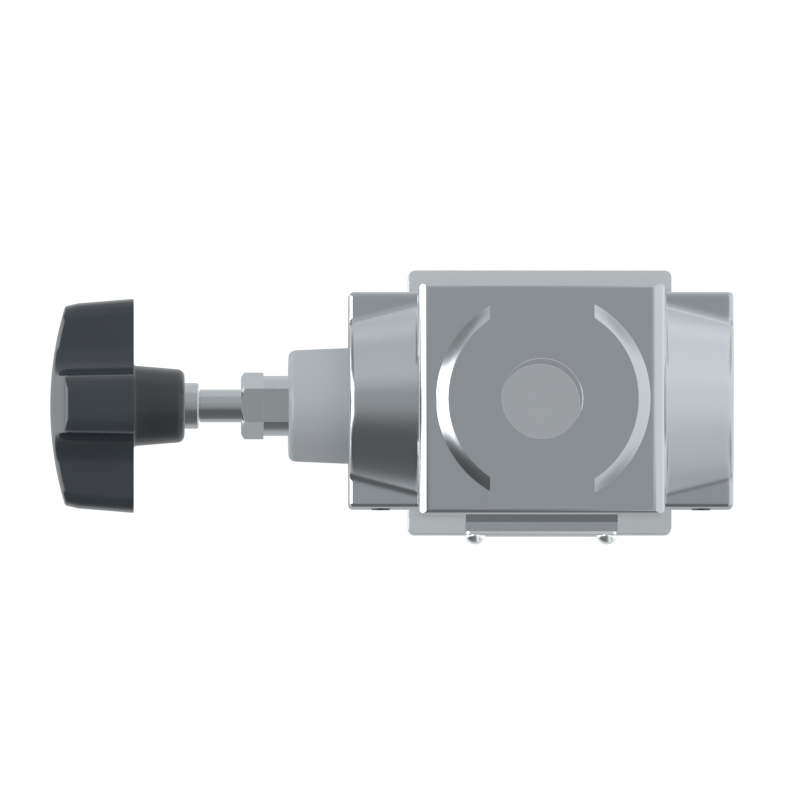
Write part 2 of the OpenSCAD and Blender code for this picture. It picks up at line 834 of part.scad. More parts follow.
module knob_pin() {
    color("dimgray") translate([pin_x, axis_y, axis_z - pin_reach])
        cylinder(h = 2 * pin_reach, r = pin_r);
}

// Half of the knob's turned outline, as radius against distance from the dome's crown
module knob_outline() {
    tip_r = knob_r - lobe_draft;
    rim = dome_r - sqrt(dome_r * dome_r - tip_r * tip_r);
    intersection() {
        difference() {
            polygon([[0, 0], [tip_r, 0], [tip_r, rim], [knob_r, lobe_len], [0, lobe_len]]);
            corner_off(tip_r, rim, dome_edge_r, -1, 1);
        }
        translate([0, dome_r]) circle(r = dome_r, $fn = dome_fn);
    }
}

// One lobe across the axis, its two outer corners rounded inside the knob's circle
module lobe_shape() {
    side = lobe_w / 2 - lobe_r;
    reach = sqrt(pow(knob_r - lobe_r, 2) - side * side);
    translate([0, -lobe_w / 2]) square([reach, lobe_w]);
    for (s = [-1, 1]) translate([reach, s * side]) circle(r = lobe_r);
    intersection() {
        circle(r = knob_r);
        polygon([[0, 0], 1.5 * [reach, side], 1.5 * [reach, -side]]);
    }
}

// Four lobes, with round hollows between them that meet the lobes' sides
module lobes_shape() {
    mid = lobe_w / 2 + hollow_r;
    difference() {
        union() {
            for (a = [0:90:270]) rotate(a) lobe_shape();
            square(2 * mid, center = true);
        }
        for (a = [0:90:270]) rotate(a) translate([mid, mid]) circle(r = hollow_r);
    }
}

module hand_knob() {
    color("darkslategray") difference() {
        union() {
            intersection() {
                along_axis(dome_x) rotate_extrude() knob_outline();
                along_axis(dome_x) linear_extrude(height = lobe_len) lobes_shape();
            }
            along_axis(knob_back_x) rotate_extrude() difference() {
                polygon([[0, -sink], [hub_big_r, -sink], [hub_big_r, 0],
                         [hub_small_r, hub_len], [0, hub_len]]);
                corner_off(hub_small_r, hub_len, hub_edge_r, -1, -1);
            }
        }
        rod_x(insert_x0, hub_x + cut, insert_r + fit_gap);
    }
}

base_plate();
plate_plug();
base_seal();
base_dowels();
base_screws();
valve_body();
port_screen();
seat_bush();
seat_seal();
end_plug();
end_plug_seal();
gallery_plugs();
nameplate();
drive_screws();
bonnet();
bonnet_seal();
guide_bush();
spindle_seal();
lock_nut();
poppet();
damping_screw();
main_spring();
spring_plate();
thrust_ball();
spindle();
stop_ring();
spindle_collar();
knob_insert();
knob_pin();
hand_knob();
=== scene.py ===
# %% [markdown]
# # A pressure control valve, dressed for its portrait
#
# The valve is a grey casting with a round boss on its front, two end housings that swell
# into cones, a light port plate behind, and an adjuster on the left that ends in a dark
# four-lobe knob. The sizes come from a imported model, the frame. This lesson keeps the turned
# and drilled pieces of that frame, gives every surface a finish, and models anew the pieces
# whose soft, moulded edges make the picture: the casting, the knob, the nameplate, its drive
# screws and the spring.

# %% Load the frame
import json
import math

import bmesh
import bpy
import numpy as np
from mathutils import Euler, Matrix, Vector

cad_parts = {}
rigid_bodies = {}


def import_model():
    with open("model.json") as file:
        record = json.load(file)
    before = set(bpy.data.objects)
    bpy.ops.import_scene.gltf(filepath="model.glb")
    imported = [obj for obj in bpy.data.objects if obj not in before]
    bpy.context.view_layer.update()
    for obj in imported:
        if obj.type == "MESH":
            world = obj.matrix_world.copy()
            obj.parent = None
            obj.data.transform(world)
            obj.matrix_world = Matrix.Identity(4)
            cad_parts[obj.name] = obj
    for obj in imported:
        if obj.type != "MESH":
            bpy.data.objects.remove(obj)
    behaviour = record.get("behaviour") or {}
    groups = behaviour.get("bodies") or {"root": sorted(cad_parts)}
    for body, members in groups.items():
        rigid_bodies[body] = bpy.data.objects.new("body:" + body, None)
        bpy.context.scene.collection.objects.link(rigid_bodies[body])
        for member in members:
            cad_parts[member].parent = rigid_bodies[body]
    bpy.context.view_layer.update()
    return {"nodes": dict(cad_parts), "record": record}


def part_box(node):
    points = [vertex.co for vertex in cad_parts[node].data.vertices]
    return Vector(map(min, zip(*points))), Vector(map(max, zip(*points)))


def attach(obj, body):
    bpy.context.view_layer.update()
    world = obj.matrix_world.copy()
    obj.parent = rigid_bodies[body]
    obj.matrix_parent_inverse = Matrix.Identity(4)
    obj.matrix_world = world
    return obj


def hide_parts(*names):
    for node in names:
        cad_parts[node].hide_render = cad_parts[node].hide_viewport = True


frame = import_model()
MM = 0.001

# %% [markdown]
# ## Read the driving sizes off the frame
#
# A piece that is modelled anew must fill the same space as the solid it stands for. Rather
# than typing the sizes again, this cell measures the frame's own boxes. The control axis is
# the line through the knob and the spindle, so its height and offset come from the spindle.

# %% Measure the frame


def span(node):
    """Lowest and highest corner of a node, in millimetres."""
    low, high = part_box(node)
    return np.array(low) / MM, np.array(high) / MM


spindle_low, spindle_high = span("spindle")
AXIS_Y = (spindle_low[1] + spindle_high[1]) / 2
AXIS_Z = (spindle_low[2] + spindle_high[2]) / 2
plate_high = span("base_plate")[1]
body_low, body_high = span("valve_body")
knob_low = span("hand_knob")[0]
print("control axis at y", round(AXIS_Y, 2), "z", round(AXIS_Z, 2))

# %% [markdown]
# ## The camera
#
# The photograph looks almost straight down on the front port through a very long lens, so an
# orthographic camera is the honest choice: parallel lines stay parallel. Its view is tipped
# by a little over a degree, which shows a sliver of the faces towards the nameplate.
# The picture is 800 pixels wide, and the knob's known size fixes how many millimetres one
# pixel covers.

# %% Place the camera
PIXELS = 800
MM_PER_PIXEL = 0.2941
MIDDLE_AT = (540.8, 400.9)
TILT = math.radians(1.25)
YAW = math.radians(0.7)


def place_camera():
    """An orthographic camera, tipped towards the nameplate and the knob."""
    data = bpy.data.cameras.new("portrait_camera")
    data.type = "ORTHO"
    data.ortho_scale = PIXELS * MM_PER_PIXEL * MM
    camera = bpy.data.objects.new("portrait_camera", data)
    bpy.context.collection.objects.link(camera)
    turn = Euler((TILT, -YAW, 0), "XYZ").to_matrix()
    right, up, back = turn.col[0], turn.col[1], turn.col[2]
    middle = Vector((0, 0, AXIS_Z * MM))
    shift_right = (PIXELS / 2 - MIDDLE_AT[0]) * MM_PER_PIXEL * MM
    shift_up = (MIDDLE_AT[1] - PIXELS / 2) * MM_PER_PIXEL * MM
    place = middle + right * shift_right + up * shift_up + back * 1.0
    camera.matrix_world = Matrix.Translation(place) @ turn.to_4x4()
    data.clip_start, data.clip_end = 0.01, 10
    bpy.context.scene.camera = camera
    return camera


camera = place_camera()
print("camera looks along", [round(v, 3) for v in -camera.matrix_world.col[2].xyz])

# %% [markdown]
# ## A helper for node trees
#
# Materials, the world and Geometry Nodes are all trees of nodes. Adding and wiring each node
# takes three or four lines, which would hide the idea. Two small classes let a formula be
# written as arithmetic instead: each operator adds one Math node and wires it.

# %% A helper for node trees


class Sock:
    """A socket or number in a node tree, so that shader maths reads as arithmetic."""

    def __init__(self, sheet, socket):
        self.sheet, self.socket = sheet, socket

    def _with(self, kind, other, flip=False):
        pair = (other, self) if flip else (self, other)
        return self.sheet.node("ShaderNodeMath", {"operation": kind}, pair)

    def __add__(self, other):
        return self._with("ADD", other)

    def __radd__(self, other):
        return self._with("ADD", other, True)

    def __sub__(self, other):
        return self._with("SUBTRACT", other)

    def __rsub__(self, other):
        return self._with("SUBTRACT", other, True)

    def __mul__(self, other):
        return self._with("MULTIPLY", other)

    def __rmul__(self, other):
        return self._with("MULTIPLY", other, True)

    def __truediv__(self, other):
        return self._with("DIVIDE", other)

    def __neg__(self):
        return self._with("MULTIPLY", -1.0)

    def clip(self, low=0.0, high=1.0):
        """Held between two values."""
        return self._with("MAXIMUM", low)._with("MINIMUM", high)

    def ramp(self, start, end):
        """0 up to start, 1 from end on, and smooth between."""
        return self.sheet.node(
            "ShaderNodeMapRange", {"interpolation_type": "SMOOTHSTEP"}, (self, start, end, 0.0, 1.0)
        )


class Sheet:
    """One node tree with a method that adds any node and wires it."""

    def __init__(self, tree):
        self.tree = tree

    def node(self, kind, settings=None, values=(), out=0):
        """Adds a node, sets its settings, then its inputs by order or by name."""
        made = self.tree.nodes.new(kind)
        for key, value in (settings or {}).items():
            setattr(made, key, value)
        pairs = values.items() if isinstance(values, dict) else enumerate(values)
        for key, value in pairs:
            self.feed(made.inputs[key], value)
        return Sock(self, made.outputs[out]) if made.outputs else made

    def feed(self, socket, value):
        """Wires a socket to an input, or sets the input to a value."""
        if isinstance(value, Sock):
            self.tree.links.new(value.socket, socket)
        elif value is not None:
            socket.default_value = value

    def place(self):
        """The point on the piece, in metres of its own object."""
        return self.node("ShaderNodeTexCoord", out=3)

    def mix(self, share, one, other):
        """A colour between two colours."""
        return self.node(
            "ShaderNodeMix", {"data_type": "RGBA"}, {0: share, 6: one, 7: other}, out=2
        )

    def noise(self, per_metre, detail=3.0, roughness=0.55, at=None):
        """Cloudy noise from 0 to 1."""
        return self.node(
            "ShaderNodeTexNoise", None,
            {"Vector": at or self.place(), "Scale": per_metre, "Detail": detail, "Roughness": roughness},
        )


print("node helper ready")

# %% [markdown]
# ## Studio light and floor
#
# Metal shows what surrounds it, so the light is a soft room rather than a lamp: a tall bright
# panel on the left, a broad one on the right, a paler ceiling side and a darker side below.
# One way is to build each panel as an area light. A world whose brightness depends on the
# direction does the same with no noise, and a mirror-like edge meets it as a clean stripe.
# In the formula, x points right in the picture, y up and z towards the camera, and each ramp
# says where a panel starts and where it is full. The camera itself sees plain white.
# The floor is white and glows a little, so it stays as pale as studio paper.

# %% The room's light
LEFT_PANEL, RIGHT_PANEL, RIGHT_RIM = 9.0, 1.25, 0.05
CEILING, CEILING_RIM, CEILING_LEFT = 0.28, 0.5, 0.15
DARK_SIDE, DARK_RIM = 0.64, 0.1
ROOM_FRONT, ROOM_UNDER, ROOM_LOW, WHITE_SEEN = 0.48, 1.9, 1.45, 1.05
ROOM_TINT = (0.972, 0.996, 1.01, 1.0)


def front_level(x, y, z):
    """Brightness of the room's front half, and of the left panel alone."""
    left = (-x).ramp(0.5, 0.74) * (1 - (y * y).ramp(0.06, 0.12)) * LEFT_PANEL
    left = left * (1 - (-z).ramp(0.35, 0.7) * 0.75)
    past_right = (y.ramp(0.3, 0.65) + (-y).ramp(0.35, 0.8)) * x.ramp(0.4, 0.65)
    right = x.ramp(0.05, 0.45) * RIGHT_PANEL + x.ramp(0.6, 1.0) * RIGHT_RIM
    right = right * (1 - past_right * 0.8)
    above = y.ramp(0.08, 0.5) * CEILING + y.ramp(0.9, 0.98) * CEILING_RIM
    above = above + y.ramp(0.08, 0.5) * (-x).ramp(0.15, 0.45) * CEILING_LEFT
    above = above * (1 - (-x).ramp(0.5, 0.65))
    below = (-y).ramp(0.02, 0.6) * DARK_SIDE - (-y).ramp(0.9, 1.0) * DARK_RIM
    level = 1 + left + right + above - below * (1 - x.ramp(0.1, 0.45) * 0.6)
    tilt = y.ramp(0.05, 0.5) * (0.3 - (-x).ramp(0.5, 0.65) * 0.2) - 0.12
    level = level * (1 + (-x).ramp(0.15, 0.4) * tilt)
    return level * (1 - y.ramp(0.25, 0.5) * (-x).ramp(0.45, 0.6) * 0.25), left


def light_room():
    """A world whose brightness depends on direction, and that the camera sees as white."""
    world = bpy.data.worlds.new("soft_room")
    world.use_nodes = True
    world.node_tree.nodes.clear()
    sheet = Sheet(world.node_tree)
    parts = sheet.node("ShaderNodeSeparateXYZ", None, (sheet.node("ShaderNodeTexCoord"),))
    x, y, z = (Sock(sheet, socket) for socket in parts.socket.node.outputs)
    level, left = front_level(x, y, z)
    low = (-y).ramp(0.15, 0.6)
    beneath = (ROOM_UNDER * (1 - low) + ROOM_LOW * low) * (1 - (-z).ramp(0.85, 1.0) * 0.5)
    beneath = beneath * (1 + x.ramp(0.4, 0.9) * 0.5)
    under = (-z).ramp(0.0, 0.6) * (1 - left.clip())
    level = level * (1 - under) + under * beneath
    level = level * (1 - (-y).ramp(0.05, 0.3) * (-x).ramp(0.5, 0.7) * 0.22)
    seen = sheet.node("ShaderNodeLightPath")
    strength = level * ROOM_FRONT * (1 - seen) + seen * WHITE_SEEN
    background = sheet.node("ShaderNodeBackground", None, {"Color": ROOM_TINT, "Strength": strength})
    sheet.node("ShaderNodeOutputWorld", None, (background,))
    bpy.context.scene.world = world


def lay_floor():
    """A pale floor under the valve, with a little light of its own."""
    bm = bmesh.new()
    bmesh.ops.create_grid(bm, x_segments=8, y_segments=8, size=1.6)
    mesh = bpy.data.meshes.new("floor")
    bm.to_mesh(mesh)
    bm.free()
    floor = bpy.data.objects.new("floor", mesh)
    bpy.context.collection.objects.link(floor)
    material = bpy.data.materials.new("studio_paper")
    material.use_nodes = True
    shader = material.node_tree.nodes["Principled BSDF"]
    shader.inputs["Base Color"].default_value = (0.25, 0.25, 0.25, 1)
    shader.inputs["Roughness"].default_value = 0.9
    shader.inputs["Specular IOR Level"].default_value = 0.1
    shader.inputs["Emission Color"].default_value = (1, 1, 1, 1)
    shader.inputs["Emission Strength"].default_value = 0.9
    mesh.materials.append(material)
    floor.visible_diffuse = False
    floor.visible_glossy = False
    return floor


light_room()
floor = lay_floor()
bpy.context.scene.view_settings.view_transform = "Standard"
print("room and floor ready")

# %% [markdown]
# ## Finishes
#
# Thirteen finishes cover the valve: cast and painted metal, turned steel, zinc, rubber and
# the knob's dark plastic. Each could have a tree of its own, but they differ only in degree,
# so one recipe makes them all: a base colour with a faint cloud in it, a roughness that
# varies, a fine bump for the grain, and edges that the light catches. The Bevel node gives
# the last: it rounds the normal across a sharp edge, so a machined corner shows a thin
# bright line without more geometry; a width of 0 leaves it out. The table below holds one
# line of values for each finish.

# %% The shared recipe for a finish


def finish_sheet(name):
    """A new material, its sheet and its Principled shader."""
    material = bpy.data.materials.new(name)
    material.use_nodes = True
    return material, Sheet(material.node_tree), material.node_tree.nodes["Principled BSDF"]


def make_finish(name, colour, metal, rough, grain, grain_depth, cloud, edge,
                rough_spread=0.08, streak=None, specular=0.5):
    """A finish with a cloudy base colour, a varying roughness and a fine grain."""
    material, sheet, shader = finish_sheet(name)
    at = sheet.place()
    if streak:
        at = sheet.node("ShaderNodeMapping", None, {"Vector": at, "Scale": streak})
    soft = sheet.noise(60, 4.0, 0.6)
    fine = sheet.noise(grain, 3.0, 0.6, at)
    dark = [c * (1 - cloud) for c in colour] + [1]
    pale = [min(1, c * (1 + cloud)) for c in colour] + [1]
    share = (soft * 0.6 + fine * 0.4).ramp(0.3, 0.7)
    sheet.feed(shader.inputs["Base Color"], sheet.mix(share, dark, pale))
    sheet.feed(shader.inputs["Roughness"], (rough + (fine - 0.5) * rough_spread).clip(0.05, 1.0))
    shader.inputs["Metallic"].default_value = metal
    shader.inputs["Specular IOR Level"].default_value = specular
    grains = {"Strength": 1.0, "Distance": grain_depth * MM, "Height": fine}
    if edge:
        grains["Normal"] = sheet.node("ShaderNodeBevel", {"samples": 4}, (edge * MM,))
    sheet.feed(shader.inputs["Normal"], sheet.node("ShaderNodeBump", None, grains))
    return material


EVEN = {"rough_spread": 0.04}
PAINT = {**EVEN, "specular": 0.3}
TURNED = {**EVEN, "streak": (1, 0.2, 0.2)}
GROUND = {**EVEN, "streak": (1, 0.05, 0.05)}
# colour, metal, roughness, grain per metre, grain depth, cloud, width of a bright edge, the rest
RECIPES = {
    "cast_grey": ((0.52, 0.545, 0.57), 1.0, 0.2, 1500, 0.002, 0.015, 0, EVEN),
    "plate_paint": ((0.84, 0.87, 0.89), 0.85, 0.24, 1800, 0.003, 0.015, 0.4, PAINT),
    "bonnet_paint": ((0.485, 0.505, 0.525), 0.2, 0.5, 1800, 0.003, 0.015, 0.3, PAINT),
    "zinc_steel": ((0.51, 0.535, 0.55), 1.0, 0.18, 700, 0.003, 0.02, 0.08, TURNED),
    "ground_steel": ((0.51, 0.535, 0.55), 1.0, 0.18, 2500, 0.002, 0.02, 0.08, GROUND),
    "dark_steel": ((0.05, 0.052, 0.055), 0.8, 0.4, 900, 0.01, 0.1, 0.2, {}),
    "spring_steel": ((0.18, 0.18, 0.19), 0.9, 0.35, 1200, 0.01, 0.1, 0.1, {}),
    "screen_steel": ((0.7, 0.725, 0.75), 1.0, 0.16, 3200, 0.002, 0.015, 0.1, {"rough_spread": 0.03}),
    "nameplate_metal": ((0.9, 0.92, 0.93), 1.0, 0.28, 1600, 0.008, 0.03, 0.1, {"streak": (0.04, 1, 1)}),
    "bright_zinc": ((0.93, 0.95, 0.96), 1.0, 0.2, 700, 0.003, 0.02, 0.15, EVEN),
    "brass_orifice": ((0.7, 0.52, 0.24), 1.0, 0.25, 1500, 0.006, 0.05, 0.1, {}),
    "rubber_seal": ((0.02, 0.02, 0.021), 0.0, 0.6, 1500, 0.01, 0.2, 0.1, {}),
    "knob_plastic": ((0.037, 0.044, 0.051), 0.0, 0.14, 2200, 0.002, 0.05, 0, EVEN),
}
FINISH = {name: make_finish(name, *main, **fine) for name, (*main, fine) in RECIPES.items()}
print("finishes:", len(FINISH))

# %% [markdown]
# ## Dress the frame's own pieces
#
# Every node of the frame is assigned the finish that its record names. Its mesh is left as
# it is, because its shape is already exact.

# %% Put a finish on every node
slot_of = {row["node"]: row["material_slot"] for row in frame["record"]["subparts"]}
for node, thing in frame["nodes"].items():
    material = FINISH[slot_of[node]]
    if thing.material_slots:
        for slot in thing.material_slots:
            slot.material = material
    else:
        thing.data.materials.append(material)
print("dressed", len(frame["nodes"]), "nodes")

# %% [markdown]
# ## Helpers that turn numbers into pieces
#
# A few small tools follow. One makes an object from points and faces, in millimetres. One
# skins a stack of closed rings, which suits anything that is drawn as outlines along an
# axis. One finishes a piece: it rides on its body and stands for its node.

# %% Mesh helpers


def solid(name, points, faces, slot, sharp=35):
    """An object from points in millimetres, smooth except across edges above an angle."""
    mesh = bpy.data.meshes.new(name)
    mesh.from_pydata((np.asarray(points, float) * MM).tolist(), [], [list(f) for f in faces])
    mesh.validate()
    thing = bpy.data.objects.new(name, mesh)
    bpy.context.collection.objects.link(thing)
    mesh.materials.append(FINISH[slot])
    tidy(thing, sharp)
    return thing


def tidy(thing, sharp=35):
    """Merges doubles, turns the faces outwards and sets the smoothing."""
    bm = bmesh.new()
    bm.from_mesh(thing.data)
    bmesh.ops.remove_doubles(bm, verts=bm.verts, dist=1e-7)
    bmesh.ops.recalc_face_normals(bm, faces=bm.faces)
    bm.to_mesh(thing.data)
    bm.free()
    thing.data.shade_smooth()
    thing.data.set_sharp_from_angle(angle=math.radians(sharp))


def skin_rings(rings):
    """Points and faces of a closed skin over rings of equal count, a point at each end."""
    count = len(rings[0])
    points = [np.mean(rings[0], axis=0)]
    for ring in rings:
        points.extend(ring)
    points.append(np.mean(rings[-1], axis=0))
    faces = []
    for j in range(count):
        faces.append((0, 1 + (j + 1) % count, 1 + j))
    for i in range(len(rings) - 1):
        low, high = 1 + i * count, 1 + (i + 1) * count
        for j in range(count):
            k = (j + 1) % count
            faces.append((low + j, low + k, high + k, high + j))
    last = 1 + (len(rings) - 1) * count
    end = len(points) - 1
    for j in range(count):
        faces.append((end, last + j, last + (j + 1) % count))
    return points, faces


def settle(thing, body, node):
    """The piece rides on its body and stands for its node."""
    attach(thing, body)
    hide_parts(node)
    print(thing.name, "faces:", len(thing.data.polygons))


def real_mesh(thing, name):
    """The object with its modifiers worked into a plain mesh."""
    graph = bpy.context.evaluated_depsgraph_get()
    mesh = bpy.data.meshes.new_from_object(thing.evaluated_get(graph))
    thing.modifiers.clear()
    thing.data = mesh
    mesh.name = name
    return thing


print("mesh helpers ready")

# %% [markdown]
# ## The casting: fillets from a distance field
#
# A casting has no sharp inner corners: where the cones run into the end housings and into
# the block, the mould leaves a fillet along a curved line. Bevelling that by hand is tedious.
# A distance field makes it easy. Each form is a formula that is negative inside, and a soft
# minimum joins two forms with a fillet. The surface is found where the field is zero, by
# placing one point in each small cell that the surface crosses and then sliding it along
# the field's slope until it lies on the surface.

# %% Distance field tools
BLEND_WIDTH = 1.17


def soft_min(a, b, radius):
    """Joins two forms with a fillet of about that radius."""
    k = BLEND_WIDTH * radius
    h = np.maximum(k - np.abs(a - b), 0) / k
    return np.minimum(a, b) - h * h * k / 4


def soft_max(a, b, radius):
    """Cuts one form with another, its edge rounded to about that radius."""
    return -soft_min(-a, -b, radius)


def graded(low, high, marks, wide, close, reach):
    """Grid lines from low to high, which lie close together near each mark."""
    lines = [low]
    while lines[-1] < high:
        near = min(abs(lines[-1] - mark) for mark in marks) < reach
        lines.append(lines[-1] + (close if near else wide))
    return np.array(lines)


def cell_points(value, axes):
    """One point in each cell that the surface crosses, and each cell's number."""
    inside = value < 0
    shape = np.array(value.shape) - 1
    total, hits = np.zeros((*shape, 3)), np.zeros(shape)

    def part(a, c):
        return a[c[0]:c[0] + shape[0], c[1]:c[1] + shape[1], c[2]:c[2] + shape[2]]

    for a in [(i, j, k) for i in (0, 1) for j in (0, 1) for k in (0, 1)]:
        for d in [d for d in range(3) if not a[d]]:
            b = tuple(v + (n == d) for n, v in enumerate(a))
            va, vb = part(value, a), part(value, b)
            cross = part(inside, a) != part(inside, b)
            spot = np.zeros((*shape, 3)) + a
            spot[..., d] += np.where(cross, va / np.where(cross, va - vb, 1), 0)
            total += spot * cross[..., None]
            hits += cross
    used = hits > 0
    number = -np.ones(shape, int)
    number[used] = np.arange(used.sum())
    spots = np.argwhere(used) + total[used] / hits[used][:, None]
    columns = [np.interp(spots[:, d], np.arange(len(axes[d])), axes[d]) for d in range(3)]
    return np.stack(columns, axis=1), number


def surface_net(field, axes):
    """Points and four-sided faces where the field is zero."""
    value = field(np.stack(np.meshgrid(*axes, indexing="ij"), axis=-1))
    points, number = cell_points(value, axes)
    inside, faces = (value < 0).astype(int), []
    for d in range(3):
        e, f = np.eye(3, dtype=int)[(d + 1) % 3], np.eye(3, dtype=int)[(d + 2) % 3]
        a = np.argwhere(np.diff(inside, axis=d) != 0)
        quad = np.stack([number[tuple(c.T)] for c in (a - e - f, a - f, a, a - e)], axis=1)
        hollow = inside[tuple(a.T)] == 0
        quad[hollow] = quad[hollow][:, ::-1]
        faces.append(quad)
    return points, np.concatenate(faces)


def slide_onto(field, points, turns=4, nudge=0.02):
    """Moves each point along the field's slope until it lies where the field is zero."""
    for _ in range(turns):
        slope = np.stack([
            (field(points + nudge * way) - field(points - nudge * way)) / (2 * nudge)
            for way in np.eye(3)
        ], axis=1)
        size = np.maximum((slope ** 2).sum(axis=1), 0.2)
        points = points - slope * (field(points) / size)[:, None]
    return points


print("field tools ready")

# %% [markdown]
# ## The casting's two ends
#
# Each end is a housing round the control bore and a cone that widens towards the block. The
# overall sizes come from the frame, the forms in between from the photograph. An even grid
# would do, but the grid here is fine only where a fillet runs, which saves most of its points.

# %% The casting's own sizes, in millimetres
END_X = body_high[0]
PLATE_TOP = plate_high[2]
BLOCK_HALF_X, BLOCK_HALF_Y = 36.3, 33.9
BLOCK_LEFT_R, BLOCK_RIGHT_R, BLOCK_SIDE_R, BLOCK_CORNER_R = 3.3, 4.1, 1.5, 2.0
BOSS_TOP = body_high[2]
BOSS_RISE, BOSS_X, BOSS_R = 3.0, 0.35, 28.0
BOSS_SPREAD, BOSS_ROUND = 3.5, 8.2
BOSS_CREST, BOSS_SLOPE = math.radians(19), math.radians(49)
FRONT_Z = BOSS_TOP - BOSS_RISE
RIB_HALF_X, RIB_HALF_Y = 15.35, 32.0
HOUSE_HALF_Y, HOUSE_HALF_Z, HOUSE_R = 31.75, 15.0, 1.3
CONE_BIG, CONE_SMALL = 31.3, 27.0
CONE_FILLET, BLOCK_FILLET = 1.1, 1.0
CONE_COSINE = 0.972
CORE_INSET, CORE_DEPTH = 0.12, 5.0
PAD_HALF_X, PAD_FACE_Y = 22.35, body_low[1]
PAD_TOP, PAD_SLOPE_OUT, PAD_SLOPE_H = AXIS_Z + 22, 2.2, 2.4
PLATE_GAP = 0.35
QUICK_GRID, FULL_GRID, GRID_MARGIN = (1.6, 0.8), (0.9, 0.36), 2.03


def ends_field(p):
    """The end housings and cones, filleted into each other and into the block's core.

    The core stays a little inside the crisp block, so that the two overlap when joined.
    """
    x, y, z = p[..., 0], p[..., 1], p[..., 2]
    end = np.abs(x) - END_X
    wall = soft_max(np.abs(y) - HOUSE_HALF_Y, np.abs(z - AXIS_Z) - HOUSE_HALF_Z, HOUSE_R)
    wall = soft_max(wall, end, HOUSE_R)
    share = np.clip((np.abs(x) - BLOCK_HALF_X) / (END_X - BLOCK_HALF_X), 0, 1)
    radius = CONE_BIG + (CONE_SMALL - CONE_BIG) * share
    cone = soft_max((np.hypot(y, z - AXIS_Z) - radius) * CONE_COSINE, end, HOUSE_R)
    cone = np.maximum(cone, np.abs(y) - HOUSE_HALF_Y)
    core = np.abs(y) - BLOCK_HALF_Y + BLOCK_CORNER_R
    block = np.maximum(np.abs(x) - BLOCK_HALF_X + CORE_INSET, core)
    block = np.maximum(np.maximum(block, z - FRONT_Z + CORE_DEPTH), PLATE_TOP - z)
    return np.minimum(soft_min(cone, wall, CONE_FILLET), soft_min(cone, block, BLOCK_FILLET))


def make_ends():
    """Both ends of the casting as one closed mesh."""
    wide, close = FULL_GRID
    edge_x, edge_y, edge_z = END_X - HOUSE_R / 2, HOUSE_HALF_Y - HOUSE_R / 2, HOUSE_HALF_Z
    root = BLOCK_HALF_X + BLOCK_FILLET / 2
    low, high = body_low - GRID_MARGIN, body_high + GRID_MARGIN
    axes = [
        graded(low[0], high[0], (-edge_x, -root, root, edge_x), wide, close, HOUSE_R),
        graded(low[1], high[1], (-edge_y, edge_y), wide, close, HOUSE_R),
        graded(low[2], high[2], (AXIS_Z - edge_z, AXIS_Z + edge_z), wide, close, HOUSE_R),
    ]
    points, faces = surface_net(ends_field, axes)
    points = slide_onto(ends_field, points)
    return solid("casting", np.clip(points, body_low, body_high), faces, "cast_grey", 40)


casting = make_ends()
print("end faces:", len(casting.data.polygons))

# %% [markdown]
# ## The casting: crisp forms and bores
#
# The block, boss, rib and pad have plain outlines. The distance field could hold them too,
# but its grid would soften their machined edges. So each is an outline pulled out or turned,
# which stays crisp, and is joined to the ends with a Boolean step.

# %% Outlines, prisms and rods


def rounded(x0, x1, y0, y1, radii, steps=10):
    """A rectangle's outline with its own radius at each corner, anticlockwise."""
    corners = [(x0, y0, 1, 1, 180), (x1, y0, -1, 1, 270), (x1, y1, -1, -1, 0), (x0, y1, 1, -1, 90)]
    points = []
    for (x, y, sx, sy, start), radius in zip(corners, radii):
        for angle in np.radians(np.linspace(start, start + 90, steps if radius else 1)):
            points.append((x + radius * (sx + math.cos(angle)) if radius else x,
                           y + radius * (sy + math.sin(angle)) if radius else y))
    return np.array(points)


def prism(name, outline, along, low, high):
    """An outline pulled out along an axis; its two coordinates keep their order."""
    count = len(outline)
    points = np.concatenate([np.insert(outline, along, level, axis=1) for level in (low, high)])
    sides = [(j, (j + 1) % count, (j + 1) % count + count, j + count) for j in range(count)]
    caps = [tuple(range(count))[::-1], tuple(range(count, 2 * count))]
    return solid(name, points, sides + caps, "cast_grey")


def rod(name, start, end, radius, segments=128):
    """A plain cylinder or cone between two points."""
    start, end = Vector(start) * MM, Vector(end) * MM
    bm = bmesh.new()
    bmesh.ops.create_cone(bm, cap_ends=True, segments=segments, radius1=radius[0] * MM,
                          radius2=radius[-1] * MM, depth=(end - start).length)
    turn = (end - start).to_track_quat("Z", "Y").to_matrix().to_4x4()
    bm.transform(Matrix.Translation((start + end) / 2) @ turn)
    mesh = bpy.data.meshes.new(name)
    bm.to_mesh(mesh)
    bm.free()
    thing = bpy.data.objects.new(name, mesh)
    bpy.context.collection.objects.link(thing)
    return thing


def lathe(name, rings, centre, segments=192):
    """A closed form turned about an upright axis, from its top centre to its foot's centre."""
    angles = np.radians(np.arange(segments) * 360 / segments)
    points = [(*centre, rings[0][1])]
    for radius, level in rings[1:-1]:
        points += [(centre[0] + radius * math.cos(a), centre[1] + radius * math.sin(a), level)
                   for a in angles]
    points.append((*centre, rings[-1][1]))
    faces, last = [], len(points) - 1
    for ring in range(len(rings) - 3):
        a = 1 + ring * segments
        faces += [(a + j, a + j + segments, a + (j + 1) % segments + segments, a + (j + 1) % segments)
                  for j in range(segments)]
    foot = last - segments
    faces += [(0, 1 + j, 1 + (j + 1) % segments) for j in range(segments)]
    faces += [(last, foot + (j + 1) % segments, foot + j) for j in range(segments)]
    return solid(name, np.array(points), faces, "cast_grey", 30)


def carve(thing, others, operation="DIFFERENCE"):
    """Works other objects into a thing one by one, then removes them."""
    for other in others:
        step = thing.modifiers.new("carve", "BOOLEAN")
        step.operation, step.solver, step.object = operation, "MANIFOLD", other
        before = len(thing.data.polygons)
        real_mesh(thing, thing.data.name)
        if len(thing.data.polygons) == before:
            print("a step left", thing.name, "as it was")
        bpy.data.objects.remove(other)
    return thing


